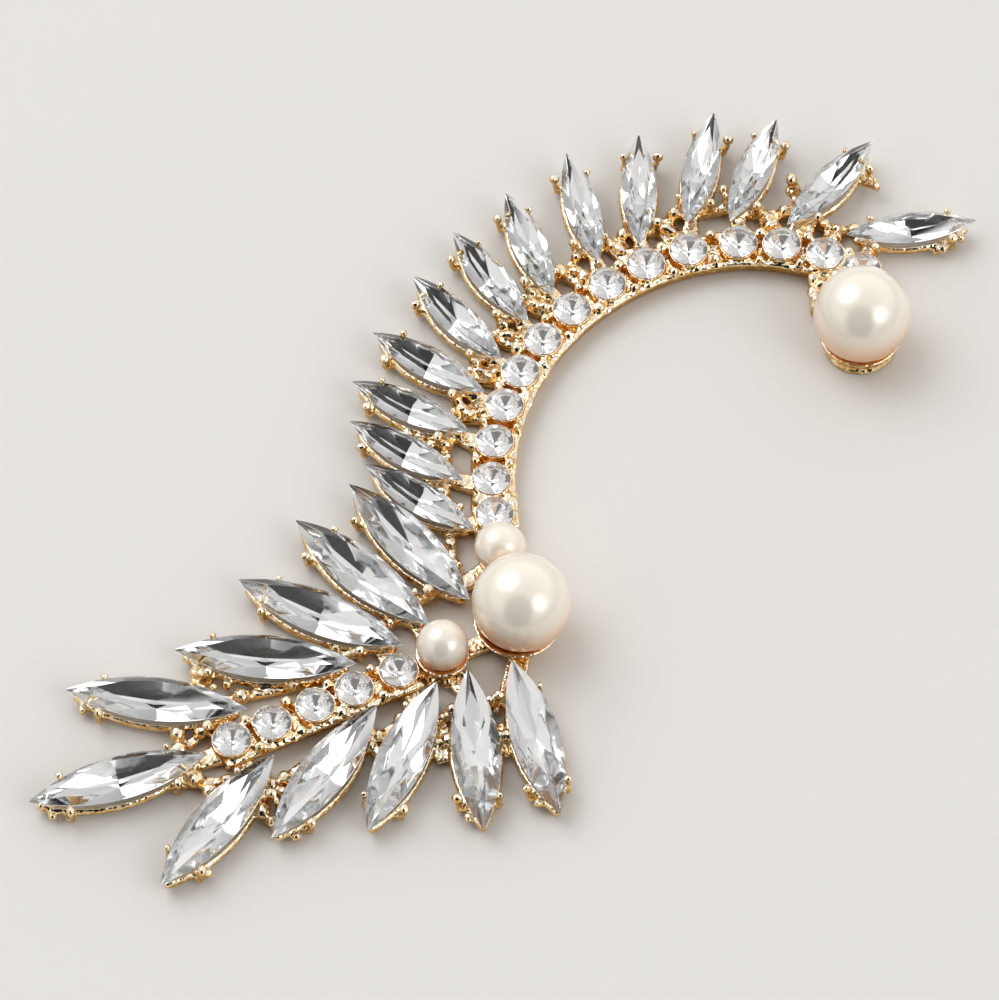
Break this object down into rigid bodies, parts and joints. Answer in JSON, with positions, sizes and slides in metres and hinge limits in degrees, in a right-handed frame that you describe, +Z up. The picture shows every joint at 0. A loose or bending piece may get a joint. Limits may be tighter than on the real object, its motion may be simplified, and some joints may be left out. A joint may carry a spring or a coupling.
{
  "type": "ear climber",
  "caption": "Curved ear climber: a row of round crystals with marquise crystals fanning out into a wing, pearls at its ends, on a gold-plated frame that wraps behind the ear.",
  "frame": {"origin": "middle of the whole piece's box in plan, on the surface that it lies on", "axes": "+Z up out of the surface towards the crystals' faces, +X from the wing towards the end pearl, +Y towards the top of the arc"},
  "size_m": [0.0766, 0.0724, 0.0086],
  "materials": {
    "gold_plated_alloy": "cast zinc alloy, plated bright yellow gold and polished, slightly uneven from casting",
    "foil_backed_crystal": "clear pressed and faceted glass with a silver foil back",
    "round_crystal": "clear faceted glass rhinestone with a silver foil back",
    "imitation_pearl": "cream-white pearl lacquer over a plastic bead, satin gloss"
  },
  "bodies": {
    "root": {"frame": "gold_plated_alloy", "small_marquise_01": "foil_backed_crystal", "small_marquise_02": "foil_backed_crystal", "small_marquise_03": "foil_backed_crystal", "small_marquise_04": "foil_backed_crystal", "small_marquise_05": "foil_backed_crystal", "small_marquise_06": "foil_backed_crystal", "small_marquise_07": "foil_backed_crystal", "small_marquise_08": "foil_backed_crystal", "small_marquise_09": "foil_backed_crystal", "small_marquise_10": "foil_backed_crystal", "small_marquise_11": "foil_backed_crystal", "small_marquise_12": "foil_backed_crystal", "small_marquise_13": "foil_backed_crystal", "large_marquise_01": "foil_backed_crystal", "large_marquise_02": "foil_backed_crystal", "large_marquise_03": "foil_backed_crystal", "large_marquise_04": "foil_backed_crystal", "large_marquise_05": "foil_backed_crystal", "large_marquise_06": "foil_backed_crystal", "large_marquise_07": "foil_backed_crystal", "large_marquise_08": "foil_backed_crystal", "large_marquise_09": "foil_backed_crystal", "large_marquise_10": "foil_backed_crystal", "large_marquise_11": "foil_backed_crystal", "arc_crystal_01": "round_crystal", "arc_crystal_02": "round_crystal", "arc_crystal_03": "round_crystal", "arc_crystal_04": "round_crystal", "arc_crystal_05": "round_crystal", "arc_crystal_06": "round_crystal", "arc_crystal_07": "round_crystal", "arc_crystal_08": "round_crystal", "arc_crystal_09": "round_crystal", "arc_crystal_10": "round_crystal", "arc_crystal_11": "round_crystal", "arc_crystal_12": "round_crystal", "arc_crystal_13": "round_crystal", "arc_crystal_14": "round_crystal", "wing_crystal_01": "round_crystal", "wing_crystal_02": "round_crystal", "wing_crystal_03": "round_crystal", "wing_crystal_04": "round_crystal", "wing_crystal_05": "round_crystal", "end_pearl": "imitation_pearl", "join_pearl": "imitation_pearl", "arc_pearl": "imitation_pearl", "wing_pearl": "imitation_pearl"}
  },
  "joints": []
}
